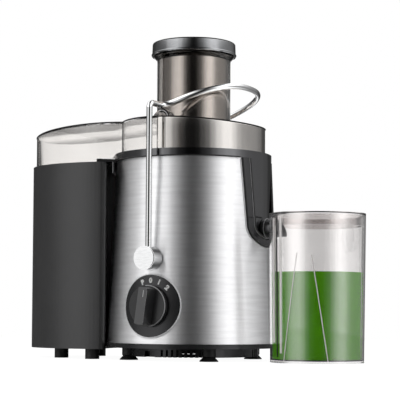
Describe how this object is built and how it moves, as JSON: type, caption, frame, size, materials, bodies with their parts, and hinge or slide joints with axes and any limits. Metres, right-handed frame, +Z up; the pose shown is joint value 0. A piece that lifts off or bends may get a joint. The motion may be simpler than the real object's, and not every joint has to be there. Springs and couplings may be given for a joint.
{
  "type": "centrifugal juicer",
  "caption": "Centrifugal juicer: steel motor base, smoky cover with wide feed chute and pusher, chrome locking arm, pulp bin and juice jug.",
  "frame": {"origin": "on the table, under the motor's axis, at the middle of the footprint", "axes": "+Z up along the motor's axis; the speed dial faces -Y; the spout and the jug are at +X, the pulp bin at -X"},
  "size_m": [0.3997, 0.2218, 0.35],
  "materials": {
    "black_plastic": "satin moulded black",
    "rubber": "matte black rubber",
    "zinc_steel": "zinc-plated or ground steel",
    "brushed_steel": "horizontally brushed stainless sheet",
    "housing_plastic": "dark moulded plastic",
    "dial_black": "black with pale marks",
    "cast_alloy": "die-cast alloy",
    "core_steel": "stacked steel laminations",
    "copper": "enamelled copper",
    "brown_plastic": "phenolic brown",
    "seal_rubber": "dark red seal",
    "seal_grey": "grey silicone",
    "board_green": "green circuit board",
    "white_plastic": "natural acetal",
    "red_plastic": "red button",
    "fan_plastic": "dark grey plastic",
    "mesh_steel": "perforated stainless sheet",
    "grater_steel": "stamped stainless",
    "smoky_clear": "smoky brown-grey transparent plastic",
    "pusher_smoke": "dark smoky plastic",
    "gunmetal": "dark grey metallic lacquer",
    "chrome": "polished chrome plate",
    "charcoal_matte": "matte charcoal moulding",
    "jug_clear": "clear plastic with a faint smoke tint",
    "lid_smoke": "smoky transparent plastic"
  },
  "bodies": {
    "base": {"base_plate": "black_plastic", "suction_feet": "rubber", "base_screws": "zinc_steel", "body_shell": "brushed_steel", "inner_housing": "housing_plastic", "spout_trim": "black_plastic", "dial_plate": "dial_black", "cord_gland": "rubber", "upper_bracket": "cast_alloy", "lower_bracket": "cast_alloy", "motor_mounts": "rubber", "stator_core": "core_steel", "field_windings": "copper", "upper_bearing": "zinc_steel", "lower_bearing": "zinc_steel", "brush_holders": "brown_plastic", "shaft_seal": "seal_rubber", "speed_switch": "housing_plastic", "control_board": "board_green", "interlock_switch": "housing_plastic", "pivot_bushes": "white_plastic", "juice_collector": "black_plastic", "spout_nozzle": "black_plastic", "cover_seal": "seal_grey", "top_cover": "smoky_clear"},
    "spinner": {"motor_shaft": "zinc_steel", "rotor_core": "core_steel", "commutator": "copper", "cooling_fan": "fan_plastic", "drive_coupling": "cast_alloy", "filter_basket": "mesh_steel", "grater_disc": "grater_steel"},
    "pusher": {"pusher_body": "pusher_smoke", "pusher_cap": "gunmetal"},
    "arm": {"locking_arm": "chrome", "arm_button_front": "chrome", "arm_button_back": "chrome", "pivot_pins": "zinc_steel", "interlock_cam": "white_plastic"},
    "interlock": {"interlock_plunger": "red_plastic"},
    "knob": {"speed_knob": "dial_black", "knob_spindle": "zinc_steel"},
    "bin": {"pulp_bin": "charcoal_matte", "bin_feet": "rubber"},
    "jug": {"juice_jug": "jug_clear"},
    "lid": {"jug_lid": "lid_smoke"}
  },
  "joints": [
    {"name": "basket_spin", "type": "hinge", "parent": "base", "child": "spinner", "pos_m": [0, 0, 0.1], "axis": [0, 0, 1], "continuous": true},
    {"name": "pusher_lift", "type": "slide", "parent": "base", "child": "pusher", "axis": [0, 0, 1], "range_m": [0, 0.165]},
    {"name": "locking_arm_swing", "type": "hinge", "parent": "base", "child": "arm", "pos_m": [0, 0, 0.108], "axis": [0, 1, 0], "range_deg": [0, 50]},
    {"name": "interlock_travel", "type": "slide", "parent": "base", "child": "interlock", "axis": [0, 0, 1], "range_m": [0, 0.0023]},
    {"name": "speed_knob_turn", "type": "hinge", "parent": "base", "child": "knob", "pos_m": [0, -0.1, 0.0581], "axis": [0, 1, 0], "range_deg": [-30, 38]},
    {"name": "pulp_bin_slide", "type": "slide", "parent": "base", "child": "bin", "axis": [-1, 0, 0], "range_m": [0, 0.15]},
    {"name": "jug_slide", "type": "slide", "parent": "base", "child": "jug", "axis": [1, 0, 0], "range_m": [0, 0.12]},
    {"name": "jug_lid_lift", "type": "slide", "parent": "jug", "child": "lid", "axis": [0, 0, 1], "range_m": [0, 0.06]}
  ],
  "couplings": [
    {"joint": "interlock_travel", "follows": "locking_arm_swing", "m_per_rad": 0.002635}
  ]
}
